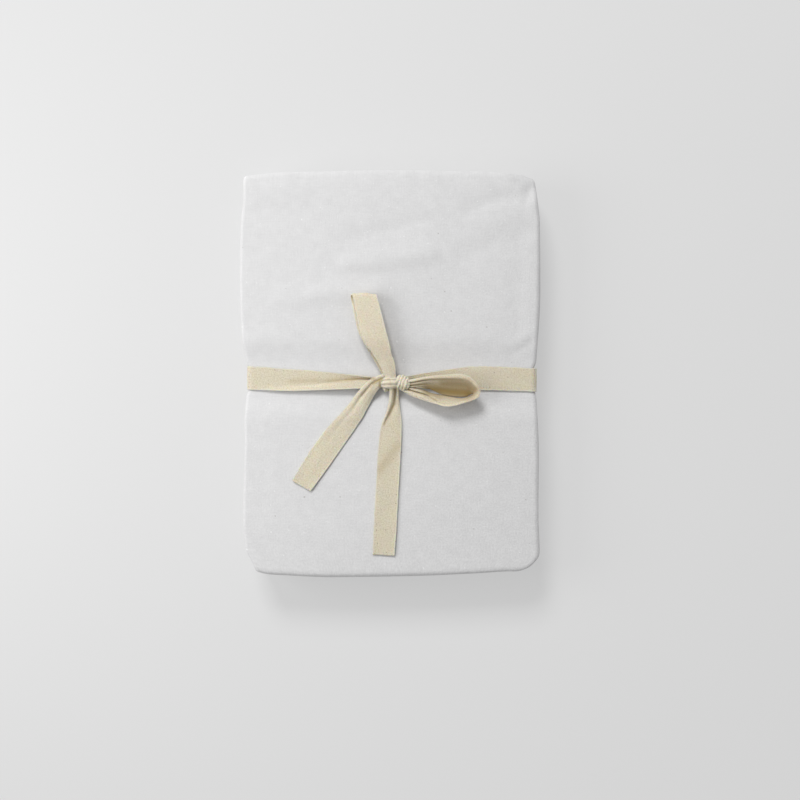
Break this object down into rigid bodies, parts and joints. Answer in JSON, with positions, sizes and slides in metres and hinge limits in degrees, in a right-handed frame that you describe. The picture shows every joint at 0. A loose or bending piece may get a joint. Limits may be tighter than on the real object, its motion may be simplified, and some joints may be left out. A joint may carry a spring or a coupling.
{
  "type": "folded crib mattress protector",
  "caption": "Soft off-white crib mattress protector folded into a flat rectangular bundle, lying on its back, tied round the waist with a cotton tape in a bow on its face.",
  "frame": {"origin": "under the middle of the bundle, on the surface that its back lies on", "axes": "+Z out of the face that carries the bow, +Y towards the top of that face, where the free ends of the cloth are, +X to its right"},
  "size_m": [0.2413, 0.3236, 0.0617],
  "materials": {
    "soft_cloth": "soft matte off-white cotton cloth with a slubby plain weave and a faint nap",
    "cotton_tape": "matte unbleached cotton tape, fine weave with firm woven edges and small seed flecks"
  },
  "bodies": {
    "root": {"folded_protector": "soft_cloth", "tape_tie": "cotton_tape"}
  },
  "joints": []
}
